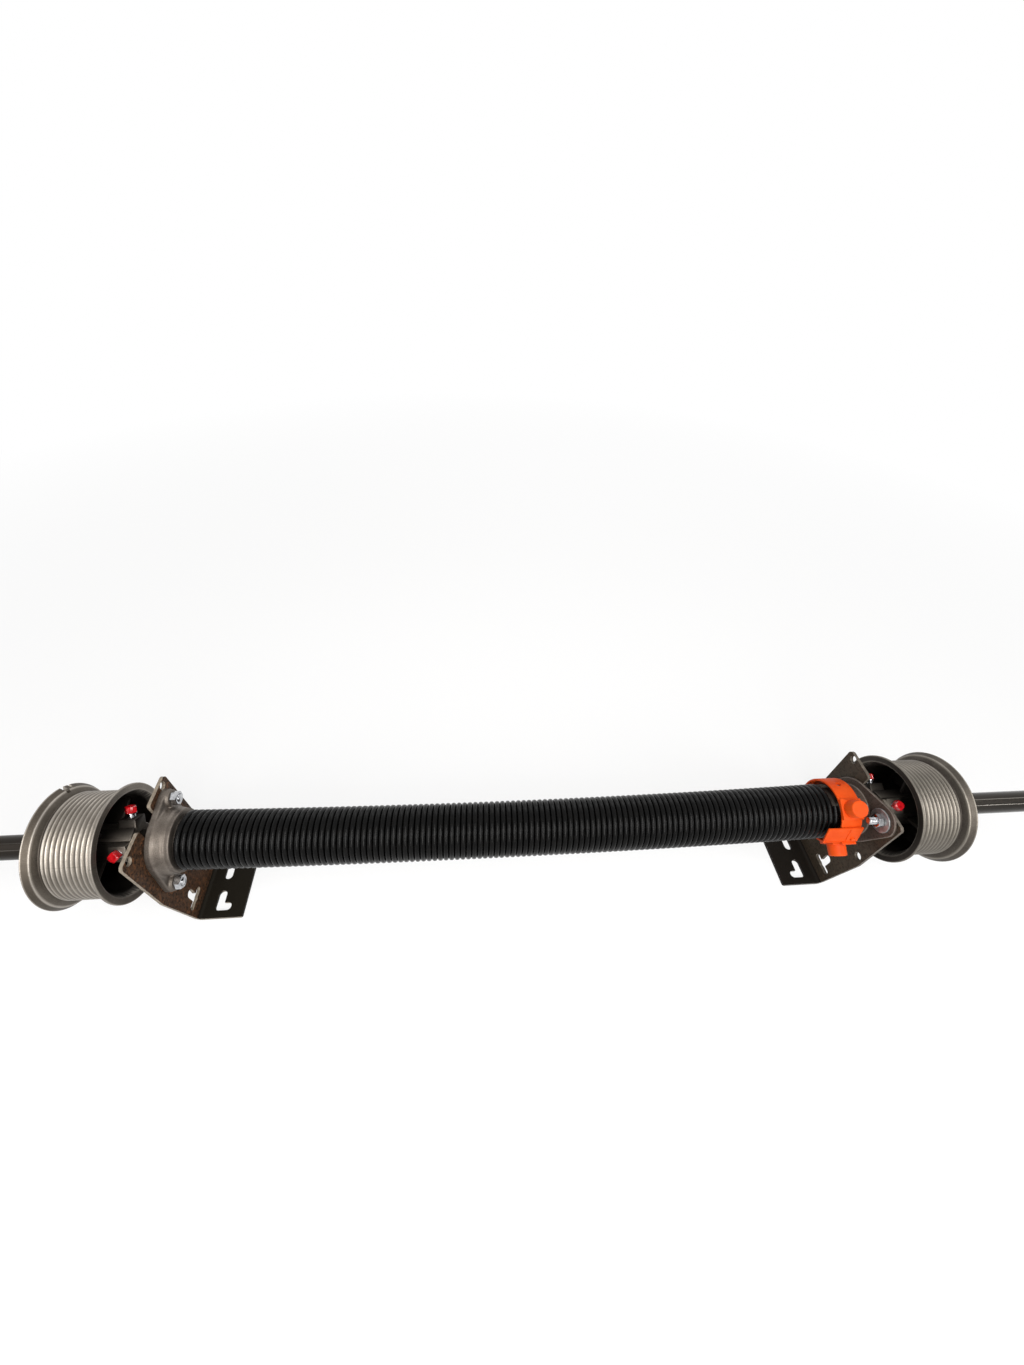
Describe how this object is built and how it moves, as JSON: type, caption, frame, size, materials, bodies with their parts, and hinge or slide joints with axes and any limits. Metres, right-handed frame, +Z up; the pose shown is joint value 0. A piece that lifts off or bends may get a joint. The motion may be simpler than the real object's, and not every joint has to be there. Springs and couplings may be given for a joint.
{
  "type": "ramp door torsion spring assembly",
  "caption": "Counterbalance for a ramp door: a torsion spring on a keyed shaft between a fixed and a winding cone, turning grooved cable drums in folded brackets.",
  "frame": {"origin": "middle of the assembly at the level of the bracket feet", "axes": "+X along the shaft from the fixed cone to the winding cone, +Z up from the feet to the shaft"},
  "size_m": [1.27, 0.1284, 0.1912],
  "materials": {
    "shaft_steel": "oiled",
    "spring_black": "gloss",
    "plate_brown": "weathered",
    "plate_dark": "oiled",
    "drum_aluminium": "cast",
    "cone_aluminium": "cast",
    "zinc": "bright",
    "race_steel": "ground",
    "screw_red": "gloss",
    "cover_orange": "moulded"
  },
  "bodies": {
    "left_mount": {"left_bracket": "plate_brown", "stationary_cone": "cone_aluminium", "cone_bearing_outer_race": "race_steel", "cone_bearing_balls": "race_steel", "cone_bolts": "zinc", "cone_nuts": "zinc", "torsion_spring": "spring_black"},
    "shaft_group": {"shaft": "shaft_steel", "cone_bearing_inner_race": "race_steel", "flange_bearing_inner_race": "race_steel", "winding_cone": "cone_aluminium", "winding_cone_set_screws": "screw_red", "winding_cone_cover": "cover_orange", "left_drum": "drum_aluminium", "right_drum": "drum_aluminium", "left_drum_set_screws": "screw_red", "right_drum_set_screws": "screw_red", "left_drum_key": "shaft_steel", "right_drum_key": "shaft_steel", "winding_cone_key": "shaft_steel"},
    "right_mount": {"right_bracket": "plate_dark", "bearing_flange": "plate_dark", "flange_bearing_outer_race": "race_steel", "flange_bearing_balls": "race_steel", "flange_bolts": "zinc", "flange_washers": "zinc", "flange_nuts": "zinc"}
  },
  "joints": [
    {"name": "shaft_turn", "type": "hinge", "parent": "left_mount", "child": "shaft_group", "pos_m": [0, 0, 0.127], "axis": [-1, 0, 0], "range_deg": [0, 2610], "stiffness_Nm_per_rad": 0.61, "deforming": ["torsion_spring"]},
    {"name": "right_bracket_turn", "type": "hinge", "parent": "shaft_group", "child": "right_mount", "pos_m": [0, 0, 0.127], "axis": [-1, 0, 0], "range_deg": [-2610, 0]}
  ],
  "couplings": [
    {"joint": "right_bracket_turn", "follows": "shaft_turn", "ratio": -1}
  ]
}
